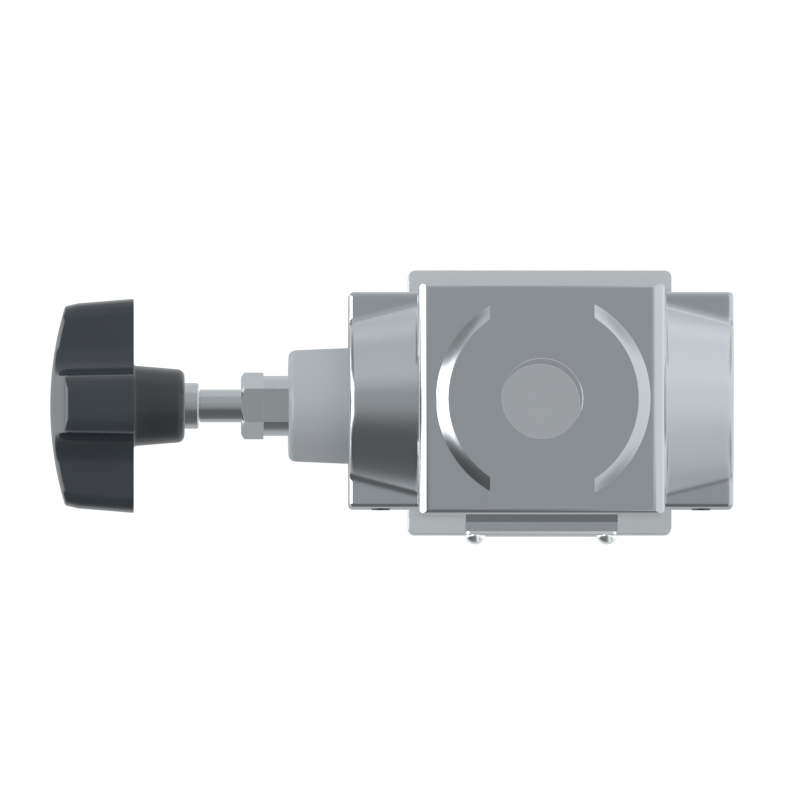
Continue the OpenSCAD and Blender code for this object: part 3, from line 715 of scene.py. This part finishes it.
def crisp_at(thing, levels):
    """Marks edges that lie in a machined face, so that its shading stays flat to the edge."""
    points = thing.data.vertices
    for edge in thing.data.edges:
        a, b = (points[n].co.z / MM for n in edge.vertices)
        if any(abs(a - level) < 0.001 and abs(b - level) < 0.001 for level in levels):
            edge.use_edge_sharp = True


print("outline tools ready")

# %% [markdown]
# ## Block, boss, rib and pad
#
# The block is the bulk of the casting. The boss round the front port stands up from it, the
# rib runs across the boss, and the nameplate sits on the pad. The boss has a flank that
# curves down steeper and steeper, so it is turned from a profile rather than pulled out.
# The block's edges differ in roundness, so it is three outlines crossed with one another.

# %% Block, boss, rib and pad


def make_block():
    """The block: three outlines, each pulled out along its own axis, crossed."""
    hx, hy = BLOCK_HALF_X, BLOCK_HALF_Y
    block = prism("block", rounded(-hx, hx, PLATE_TOP, FRONT_Z, (0, 0, BLOCK_RIGHT_R, BLOCK_LEFT_R)),
                  1, -hy, hy)
    across = prism("across", rounded(-hy, hy, PLATE_TOP, FRONT_Z, (0, 0, BLOCK_SIDE_R, BLOCK_SIDE_R)),
                   0, -hx, hx)
    upright = prism("upright", rounded(-hx, hx, -hy, hy, [BLOCK_CORNER_R] * 4), 2, PLATE_TOP, FRONT_Z)
    return carve(block, [across, upright], "INTERSECT")


def make_pad():
    """The nameplate pad, with a ledge and a slope above it."""
    side, root = -BLOCK_HALF_Y, -BLOCK_HALF_Y + 1
    outline = np.array([
        (root, PLATE_TOP), (root, PAD_TOP + PAD_SLOPE_H), (side, PAD_TOP + PAD_SLOPE_H),
        (side - PAD_SLOPE_OUT, PAD_TOP), (PAD_FACE_Y, PAD_TOP), (PAD_FACE_Y, PLATE_TOP),
    ])
    return prism("pad", outline, 0, -PAD_HALF_X, PAD_HALF_X)


def boss_and_rib():
    """The round boss, its flank steeper towards the foot, and the rib that crosses it."""
    wide, foot = BOSS_R + BOSS_SPREAD, FRONT_Z - 1
    turns = np.linspace(BOSS_CREST, BOSS_SLOPE, 13)
    out, down = math.sin(BOSS_CREST), math.cos(BOSS_CREST)
    shoulder = [
        (BOSS_R + BOSS_ROUND * (math.sin(a) - out), BOSS_TOP - BOSS_ROUND * (down - math.cos(a)))
        for a in turns
    ]
    boss = lathe("boss", [(0, BOSS_TOP), *shoulder, (wide, foot), (0, foot)], (BOSS_X, 0))
    rib = prism("rib", rounded(-RIB_HALF_X, RIB_HALF_X, -RIB_HALF_Y, RIB_HALF_Y, [0.3] * 4, 4),
                2, FRONT_Z - 1, BOSS_TOP)
    return [boss, rib]


carve(casting, [make_block(), *boss_and_rib(), make_pad()], "UNION")
print("casting faces:", len(casting.data.polygons))

# %% [markdown]
# ## Bores
#
# Drilling comes last, as in the workshop. The front port goes down to a screen in a shallow
# recess, and the control bore runs from the bonnet's shank through the seat to the end plug.
# The hollow could be one turned profile, but with a cylinder for each drill every bore can be
# changed alone. A cutter runs past the face that it opens.

# %% Drill the casting
screen_low, screen_high = span("port_screen")
bush_low, bush_high = span("seat_bush")
plug_low, plug_high = span("end_plug")
bonnet_high = span("bonnet")[1]
FIT_GAP = 0.05
PORT_R, PORT_DEPTH, PORT_CHAMFER = 11.93, 17.5, 0.05
RECESS_AT = ((screen_low + screen_high) / 2)[:2]
RECESS_R = (screen_high[0] - screen_low[0]) / 2 + FIT_GAP
PLUG_R = (plug_high[1] - plug_low[1]) / 2 + FIT_GAP
SHANK_R, CHAMBER_R, WAY_R, WAY_LEN = 13.05, 9.5, 13.0, 7.0
SEAT_R, FAR_WAY_R, PLUG_CHAMFER = 10.55, 11.5, 1.0
PAST = 3.0


def on_axis(x0, x1, *radius):
    """A cutter along the control axis."""
    return rod("bore", (x0, AXIS_Y, AXIS_Z), (x1, AXIS_Y, AXIS_Z), radius)


def bore_cutters():
    """The front port, the screen's recess, and the bores along the control axis."""
    port_floor = BOSS_TOP - PORT_DEPTH
    x, y = RECESS_AT
    return [
        rod("bore", (0, 0, port_floor), (0, 0, BOSS_TOP + PAST), (PORT_R,)),
        rod("bore", (0, 0, BOSS_TOP - PORT_CHAMFER), (0, 0, BOSS_TOP + PORT_CHAMFER),
            (PORT_R, PORT_R + 2 * PORT_CHAMFER)),
        rod("bore", (x, y, screen_low[2]), (x, y, port_floor + 0.5), (RECESS_R,)),
        on_axis(-END_X - PAST, bonnet_high[0], SHANK_R),
        on_axis(bonnet_high[0] - 1, bush_low[0], CHAMBER_R),
        on_axis(bush_low[0] - WAY_LEN, bush_low[0], WAY_R),
        on_axis(bush_low[0] - 1, bush_high[0] - 2, SEAT_R),
        on_axis(bush_high[0] - 2.2, plug_low[0] + 1, FAR_WAY_R),
        on_axis(plug_low[0], END_X + PAST, PLUG_R),
        on_axis(END_X - 0.5, END_X + 0.5, PLUG_R, PLUG_R + PLUG_CHAMFER),
    ]


def plate_cutter():
    """The room that the port plate takes up under the casting."""
    x, y = plate_high[0] + PLATE_GAP, plate_high[1] + 20
    return prism("room", rounded(-x, x, -y, y, [0] * 4), 2, -5, PLATE_TOP)


carve(casting, [plate_cutter(), *bore_cutters()])
tidy(casting, 30)
crisp_at(casting, (BOSS_TOP, FRONT_Z))
settle(casting, "housing", "valve_body")

# %% [markdown]
# ## The knob
#
# The knob is moulded: four lobes with hollows between them, a shallow dome, soft edges all
# round the dome, and a tapered hub. Stacking outlines suits it. One outline of the lobes is
# worked out by shooting a ray from the axis at each angle, and its points are spread evenly.
# It is then set in along its own normals for the rounded edge, which starts at the slope
# that the dome has there, and shrunk a little towards the dome for the draft that lets it
# leave the mould.

# %% The outline of the lobes
KNOB_R = 31.5
LOBE_HALF, LOBE_CORNER, HOLLOW_R = 9.0, 4.5, 9.0
LOBE_LEN, HUB_LEN = 24.5, 15.0
DOME_R, DRAFT, DOME_EDGE, REAR_EDGE = 100.0, 2.0, 1.2, 0.08
HUB_BIG, HUB_SMALL, HUB_EDGE, HUB_ROOT = 11.8, 10.8, 2.2, 0.8
OUTLINE_POINTS = 384


def inside_lobes(x, y):
    """Whether a point lies within the outline of the four lobes."""
    x, y = np.abs(x), np.abs(y)
    x, y = np.maximum(x, y), np.minimum(x, y)
    mid = LOBE_HALF + HOLLOW_R
    side = LOBE_HALF - LOBE_CORNER
    reach = math.sqrt((KNOB_R - LOBE_CORNER) ** 2 - side ** 2)
    core = (x < mid) & (np.hypot(x - mid, y - mid) > HOLLOW_R)
    arm = (x >= mid) & (x < reach) & (y < LOBE_HALF)
    corner = np.hypot(x - reach, y - side) < LOBE_CORNER
    tip = (np.hypot(x, y) < KNOB_R) & (y * reach < x * side)
    return core | arm | corner | tip


def lobe_outline(count):
    """Evenly spread points on the outline, and the unit vectors that point inwards."""
    angle = np.linspace(0, 2 * math.pi, 7201)
    near, far = np.zeros_like(angle) + 1, np.zeros_like(angle) + KNOB_R + 1
    for _ in range(40):
        middle = (near + far) / 2
        within = inside_lobes(middle * np.cos(angle), middle * np.sin(angle))
        near, far = np.where(within, middle, near), np.where(within, far, middle)
    line = np.stack([near * np.cos(angle), near * np.sin(angle)], axis=1)
    length = np.concatenate([[0], np.cumsum(np.hypot(*np.diff(line, axis=0).T))])
    want = np.linspace(0, length[-1], count, endpoint=False)
    spread = np.stack([np.interp(want, length, line[:, n]) for n in (0, 1)], axis=1)
    along = np.roll(spread, -2, axis=0) - np.roll(spread, 2, axis=0)
    along /= np.hypot(*along.T)[:, None]
    return spread, np.stack([-along[:, 1], along[:, 0]], axis=1)


outline, inward = lobe_outline(OUTLINE_POINTS)
print("outline reaches", round(float(np.hypot(*outline.T).max()), 2), "mm")

# %% [markdown]
# ## The knob from its rings
#
# A skin is laid over the rings in order: crown, edge, lobes, back, hub and the hole for the
# insert. A subdivided box would give similar curves, but the rings hold the measured sizes.
# A ring can vary in depth along its way, so the rounded edge follows the dome.

# %% The knob from its rings


def knob_rings():
    """Rings from the crown of the dome, over its edge, along the lobes and the hub."""
    rings = []

    def drawn(flat, depth):
        radius = np.hypot(*flat.T)
        taper = 1 - DRAFT / KNOB_R * (1 - depth / LOBE_LEN) * radius / KNOB_R
        return flat * np.asarray(taper)[:, None]

    def add(flat, depth):
        depth = np.zeros(len(flat)) + depth
        rings.append(np.column_stack([knob_low[0] + depth, AXIS_Y + flat[:, 0], AXIS_Z + flat[:, 1]]))

    def dome(flat):
        return DOME_R - np.sqrt(DOME_R ** 2 - (flat ** 2).sum(axis=1))

    def set_in(lean):
        return drawn(outline + inward * (DOME_EDGE * (1 - np.sin(lean)))[:, None], 0)

    guess = outline + inward * DOME_EDGE
    fall = -(guess * inward).sum(axis=1) / np.sqrt(DOME_R ** 2 - (guess ** 2).sum(axis=1))
    lean = np.arctan(fall)
    inner = set_in(lean)
    for share in np.linspace(0.04, 1, 16):
        add(inner * share, dome(inner * share))
    start = dome(inner) + DOME_EDGE * np.cos(lean)
    for share in np.linspace(0, 1, 9)[1:]:
        phi = lean + (math.pi / 2 - lean) * share
        add(set_in(phi), start - DOME_EDGE * np.cos(phi))
    for share in np.linspace(0, 1, 8)[1:]:
        depth = start + (LOBE_LEN - 2 * REAR_EDGE - start) * share
        add(drawn(outline, depth), depth)
    add(outline, LOBE_LEN - REAR_EDGE)
    add(outline + inward * REAR_EDGE, LOBE_LEN)
    turn = 2 * math.pi * np.arange(OUTLINE_POINTS) / OUTLINE_POINTS
    circle = np.stack([np.cos(turn), np.sin(turn)], axis=1)
    back = outline + inward * REAR_EDGE
    for share in (0.3, 0.6, 0.9):
        add(back * (1 - share) + circle * (HUB_BIG + HUB_ROOT) * share, LOBE_LEN)
    root = LOBE_LEN + HUB_ROOT
    for phi in np.radians(np.linspace(0, 90, 6)):
        add(circle * (HUB_BIG + HUB_ROOT * (1 - math.sin(phi))), root - HUB_ROOT * math.cos(phi))
    end = LOBE_LEN + HUB_LEN
    for share in (0.35, 0.7):
        add(circle * (HUB_BIG + (HUB_SMALL - HUB_BIG) * share), root + (end - HUB_EDGE - root) * share)
    for phi in np.radians(np.linspace(0, 90, 9)):
        add(circle * (HUB_SMALL - HUB_EDGE * (1 - math.cos(phi))), end - HUB_EDGE * (1 - math.sin(phi)))
    insert_low, insert_high = span("knob_insert")
    hole = (insert_high[1] - insert_low[1]) / 2 + FIT_GAP
    add(circle * hole, end)
    add(circle * hole, insert_low[0] - knob_low[0])
    add(circle * hole * 0.1, insert_low[0] - knob_low[0])
    return rings


def make_knob():
    """The four-lobe knob."""
    points, faces = skin_rings(knob_rings())
    return solid("four_lobe_knob", points, faces, "knob_plastic", 50)


knob = make_knob()
settle(knob, "adjuster", "hand_knob")

# %% [markdown]
# ## The nameplate
#
# The plate is thin sheet with a border pressed up round its edge. It is left blank. Rings of
# one rounded outline, each set in a little from the last, give the bevel, the border and the
# sunk middle; two rods then drill it for the drive screws.

# %% Press the nameplate
name_low, name_high = span("nameplate")
NAME_CORNER, NAME_BORDER, NAME_SUNK, NAME_BEVEL = 1.0, 1.2, 0.2, 0.15
drive_low, drive_high = span("drive_screws")
DRIVE_HEAD_R = (drive_high[2] - drive_low[2]) / 2
DRIVE_PITCH = (drive_high[0] - drive_low[0]) - 2 * DRIVE_HEAD_R
DRIVE_Z = (drive_high[2] + drive_low[2]) / 2
DRIVE_SHANK_R = 1.3


def make_nameplate():
    """The blank nameplate with its pressed border."""
    middle_x, middle_z = (name_low[0] + name_high[0]) / 2, (name_low[2] + name_high[2]) / 2
    half_x, half_z = (name_high[0] - name_low[0]) / 2, (name_high[2] - name_low[2]) / 2
    rings = []
    steps = [
        (0.0, name_high[1]), (0.0, name_low[1] + NAME_BEVEL), (NAME_BEVEL, name_low[1]),
        (NAME_BORDER, name_low[1]), (NAME_BORDER + NAME_SUNK, name_low[1] + NAME_SUNK),
        (NAME_BORDER + 2, name_low[1] + NAME_SUNK),
    ]
    for inset, y in steps:
        corner = max(NAME_CORNER - inset, 0.25)
        wide, high = half_x - inset, half_z - inset
        flat = rounded(-wide, wide, -high, high, [corner] * 4, 9)
        rings.append(np.column_stack([
            middle_x + flat[:, 0], np.full(len(flat), y), middle_z + flat[:, 1]
        ]))
    points, faces = skin_rings(rings)
    plate = solid("blank_nameplate", points, faces, "nameplate_metal", 25)
    carve(plate, [
        rod("drill", (side * DRIVE_PITCH / 2, name_low[1] - 1, DRIVE_Z),
            (side * DRIVE_PITCH / 2, name_high[1] + 1, DRIVE_Z), (DRIVE_SHANK_R + FIT_GAP,), 48)
        for side in (-1, 1)
    ])
    tidy(plate, 25)
    return plate


nameplate = make_nameplate()
settle(nameplate, "housing", "nameplate")

# %% [markdown]
# ## Things that repeat: drive screws and body screws
#
# Two drive screws hold the nameplate, and four socket screws hold the body to the plate. One
# screw of each kind is turned from a profile, as on a lathe. Six could be made one by one,
# but copies of one piece are sure to be alike.

# %% A turned piece from its profile


def turned(name, profile, segments, slot, place, sharp=30):
    """A closed piece turned round Z from (radius, height) pairs, then moved by a matrix."""
    turn = 2 * math.pi * np.arange(segments) / segments
    circle = np.stack([np.cos(turn), np.sin(turn)], axis=1)
    rings = []
    for radius, height in profile:
        flat = circle * max(radius, 0.01)
        rings.append(np.column_stack([flat, np.full(segments, height)]))
    points, faces = skin_rings(rings)
    points = [list(place @ Vector(point)) for point in points]
    return solid(name, points, faces, slot, sharp)


def arc(middle, radius, start, end, steps):
    """Points of an arc in a profile, its angles in degrees."""
    return [
        (middle[0] + radius * math.cos(math.radians(a)), middle[1] + radius * math.sin(math.radians(a)))
        for a in np.linspace(start, end, steps)
    ]


print("turning ready")

# %% [markdown]
# ## A tree that sets copies on a grid
#
# A small Geometry Nodes tree sets copies of a screw on the points of a grid. A loop or an
# Array modifier could do that too. A tree keeps the screw, the counts, the spacing and the
# finish as inputs that can be changed, so one tree serves both kinds of screw. The copies
# are then made into real faces.

# %% The tree that sets copies on a grid
TREE_INPUTS = (
    ("Piece", "NodeSocketObject"), ("Across", "NodeSocketInt"), ("Along", "NodeSocketInt"),
    ("Spacing X", "NodeSocketFloat"), ("Spacing Y", "NodeSocketFloat"),
    ("Finish", "NodeSocketMaterial"),
)


def new_tree(name, inputs):
    """An empty Geometry Nodes tree with named inputs and one geometry output."""
    tree = bpy.data.node_groups.new(name, "GeometryNodeTree")
    for label, kind in inputs:
        tree.interface.new_socket(name=label, in_out="INPUT", socket_type=kind)
    tree.interface.new_socket(name="Geometry", in_out="OUTPUT", socket_type="NodeSocketGeometry")
    sheet = Sheet(tree)
    entry = tree.nodes.new("NodeGroupInput")
    given = {label: Sock(sheet, entry.outputs[label]) for label, _ in inputs}
    return tree, sheet, given


def close_tree(sheet, geometry, finish):
    """Ends a tree: real faces, then the finish."""
    real = sheet.node("GeometryNodeRealizeInstances", None, {"Geometry": geometry})
    dressed = sheet.node("GeometryNodeSetMaterial", None, {"Geometry": real, "Material": finish})
    sheet.node("NodeGroupOutput", None, {"Geometry": dressed})


def grow(name, tree, values):
    """Runs a tree with its inputs set by identifier and keeps the result as a plain mesh."""
    thing = bpy.data.objects.new(name, bpy.data.meshes.new(name))
    bpy.context.collection.objects.link(thing)
    step = thing.modifiers.new("tree", "NODES")
    step.node_group = tree
    for item in tree.interface.items_tree:
        if item.in_out == "INPUT":
            step[item.identifier] = values[item.name]
    return real_mesh(thing, name)


def copies_tree():
    """Copies of one piece on the points of a grid."""
    tree, sheet, given = new_tree("copies_on_a_grid", TREE_INPUTS)
    grid = sheet.node("GeometryNodeMeshGrid", None, {
        "Size X": given["Spacing X"], "Size Y": given["Spacing Y"],
        "Vertices X": given["Across"], "Vertices Y": given["Along"],
    })
    piece = sheet.node("GeometryNodeObjectInfo", None, {"Object": given["Piece"]}, out=4)
    copies = sheet.node("GeometryNodeInstanceOnPoints", None, {"Points": grid, "Instance": piece})
    close_tree(sheet, copies, given["Finish"])
    return tree


grid_copies = copies_tree()
print("tree nodes:", len(grid_copies.nodes))

# %% [markdown]
# ## The screws themselves
#
# The drive screws have low domed heads; the body screws have a hexagon socket, which is a
# six-sided rod taken away from the head. The spacing of both comes from the frame. The drive
# screws name the frame's zinc slot, but are polished brighter, as the photograph shows.

# %% Set the screws
screws_low, screws_high = span("base_screws")
HEAD_R, HEAD_H, SHAFT_R, SOCKET_AF, SOCKET_DEEP = 5.0, 6.0, 3.0, 5.0, 3.0


def set_screws(name, pattern, across, along, spacing, finish, body, node):
    """Copies of a pattern screw on a grid, then the pattern is removed."""
    screws = grow(name, grid_copies, {
        "Piece": pattern, "Across": across, "Along": along,
        "Spacing X": spacing[0] * MM, "Spacing Y": spacing[1] * MM, "Finish": FINISH[finish],
    })
    bpy.data.objects.remove(pattern)
    tidy(screws, 30)
    settle(screws, body, node)


def drive_pattern():
    """One domed drive screw, its head towards the viewer of the nameplate."""
    head_y, foot_y = drive_low[1], drive_high[1]
    height = name_low[1] - head_y
    ball = (height ** 2 + DRIVE_HEAD_R ** 2) / (2 * height)
    spread = math.degrees(math.acos(1 - height / ball))
    profile = arc((0, ball - height), ball, -90 + 2, -90 + spread, 14)
    foot = foot_y - name_low[1]
    profile += [
        (DRIVE_HEAD_R - 0.08, 0.0), (DRIVE_SHANK_R, 0.02),
        (DRIVE_SHANK_R, foot - 0.5), (DRIVE_SHANK_R - 0.4, foot),
    ]
    profile = [(min(r, DRIVE_HEAD_R), z) for r, z in profile]
    place = Matrix.Translation((0, name_low[1], DRIVE_Z)) @ Matrix.Rotation(-math.pi / 2, 4, "X")
    return turned("drive_pattern", profile, 48, "zinc_steel", place)


def body_pattern():
    """One body screw with a hexagon socket."""
    head, foot, length = HEAD_R, screws_low[2], screws_high[2] - screws_low[2]
    profile = [
        (head - 0.5, 0.0), (head - 0.12, 0.12), (head, 0.5), (head, HEAD_H - 0.2),
        (head - 0.2, HEAD_H), (SHAFT_R + 0.3, HEAD_H), (SHAFT_R, HEAD_H + 0.3),
        (SHAFT_R, length - 0.7), (SHAFT_R - 0.7, length),
    ]
    screw = turned("body_pattern", profile, 48, "dark_steel", Matrix.Translation((0, 0, foot)))
    socket = rod("socket", (0, 0, foot - 1), (0, 0, foot + SOCKET_DEEP), (SOCKET_AF / math.sqrt(3),), 6)
    return carve(screw, [socket])


screw_spacing = (screws_high - screws_low)[:2] - 2 * HEAD_R
set_screws(
    "domed_drive_screws", drive_pattern(), 2, 1, (DRIVE_PITCH, 0), "bright_zinc",
    "housing", "drive_screws",
)
set_screws(
    "body_screws", body_pattern(), 2, 2, screw_spacing, "dark_steel",
    "housing", "base_screws",
)

# %% [markdown]
# ## The spring
#
# A compression spring is one wire on a helix. Its end coils lie flat, because the wire is
# wound there without pitch and the ends are ground. The tree starts from a spiral and lifts
# each point by a rule: close coils at both ends and an even pitch between. A rule fits a
# tree well, because the turns, the wire and the length stay inputs that can be changed.

# %% Grow the spring
SPRING_INPUTS = (
    ("Turns", "NodeSocketFloat"), ("Coil radius", "NodeSocketFloat"),
    ("Wire radius", "NodeSocketFloat"), ("Length", "NodeSocketFloat"),
    ("Start", "NodeSocketVector"), ("Finish", "NodeSocketMaterial"),
)
CLOSE_PITCH, TURNS, WIRE_R = 2.04, 7.5, 1.5


def spring_tree():
    """A helix with close end coils, given the thickness of the wire."""
    tree, sheet, given = new_tree("coil_spring", SPRING_INPUTS)
    turns, wire = given["Turns"], given["Wire radius"]
    flat = sheet.node("GeometryNodeCurveSpiral", None, {
        "Resolution": 40, "Rotations": turns, "Start Radius": given["Coil radius"],
        "End Radius": given["Coil radius"], "Height": 0.0,
    })
    share = sheet.node("GeometryNodeSplineParameter", out=0)
    turn = share * turns
    close = wire * CLOSE_PITCH
    free = (given["Length"] - wire * 2 - close * 2) / (turns - 2)
    lift = turn.clip(0.0, 1.0) * close + ((turn - 1).clip(0.0, 99.0)) * free
    lift = lift + (turn - turns + 1).clip(0.0, 1.0) * (close - free) + wire
    shift = sheet.node("ShaderNodeCombineXYZ", None, {"Z": lift})
    helix = sheet.node("GeometryNodeSetPosition", None, {"Geometry": flat, "Offset": shift})
    section = sheet.node("GeometryNodeCurvePrimitiveCircle", None, {"Resolution": 16, "Radius": wire})
    skin = sheet.node("GeometryNodeCurveToMesh", None, {
        "Curve": helix, "Profile Curve": section, "Fill Caps": True,
    })
    laid = sheet.node("GeometryNodeTransform", None, {
        "Geometry": skin, "Translation": given["Start"], "Rotation": (0, math.pi / 2, 0),
    })
    close_tree(sheet, laid, given["Finish"])
    return tree


spring_low, spring_high = span("main_spring")
spring = grow("coil_spring", spring_tree(), {
    "Turns": TURNS, "Coil radius": ((spring_high[2] - spring_low[2]) / 2 - WIRE_R - 0.02) * MM,
    "Wire radius": (WIRE_R - 0.01) * MM, "Length": (spring_high[0] - spring_low[0]) * MM,
    "Start": (spring_low[0] * MM, AXIS_Y * MM, AXIS_Z * MM), "Finish": FINISH["spring_steel"],
})
tidy(spring, 60)
settle(spring, "spring_carrier", "main_spring")

# %% [markdown]
# ## Mirror images
#
# Parts this bright would show dark pictures of their neighbours, and the photograph shows
# none: its metal mirrors only the studio. A rougher finish would blur them but dull the
# metal too, so the pieces are hidden from mirror rays. The knob and the socketed pieces are
# not, because a hollow looks right only when its own walls show in it.

# %% Hide from mirrors
KEEP_MIRRORED = ("four_lobe_knob", "end_plug", "plate_plug", "gallery_plugs", "body_screws")
for thing in bpy.data.objects:
    if thing.type == "MESH" and not thing.name.startswith(KEEP_MIRRORED):
        thing.visible_glossy = False
